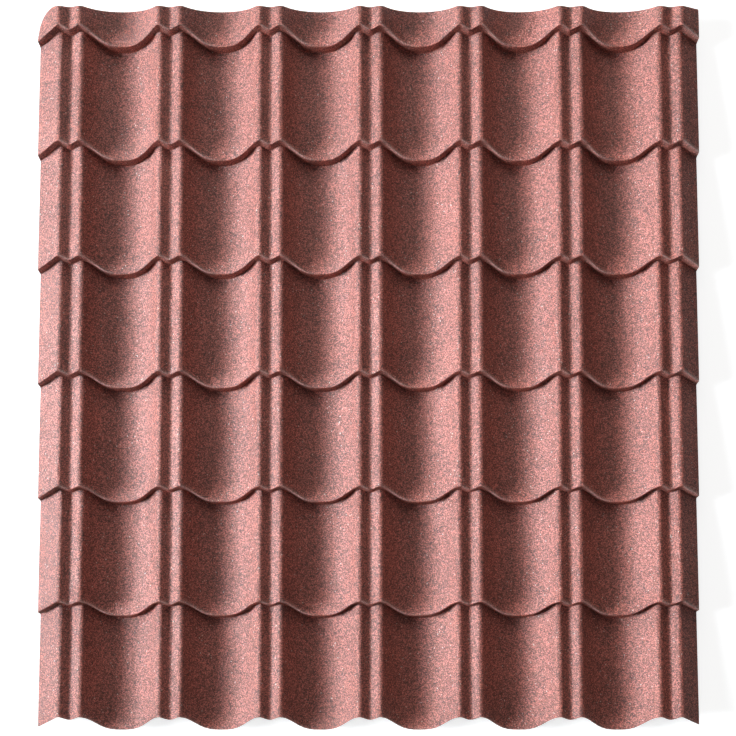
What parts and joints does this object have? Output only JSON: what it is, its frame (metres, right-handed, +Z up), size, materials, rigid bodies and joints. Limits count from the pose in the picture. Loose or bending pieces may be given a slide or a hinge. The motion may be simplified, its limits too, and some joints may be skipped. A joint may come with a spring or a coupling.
{
  "type": "tile effect metal roofing sheet",
  "caption": "Pressed steel roofing sheet shaped like rows of wavy tiles, with a dull brick red stone granule coat, stepped courses and one trimmed top corner.",
  "frame": {"origin": "Middle of the footprint on the floor plane, under the lowest points of the sheet", "axes": "X runs across the sheet from its trimmed corner side to the other side lap, +Y runs up the roof slope to the head edge, +Z points up out of the coated face"},
  "size_m": [1.009, 1.1038, 0.0493],
  "materials": {
    "stone_coated_steel": "matte granular"
  },
  "bodies": {
    "root": {"roofing_sheet": "stone_coated_steel"}
  },
  "joints": []
}
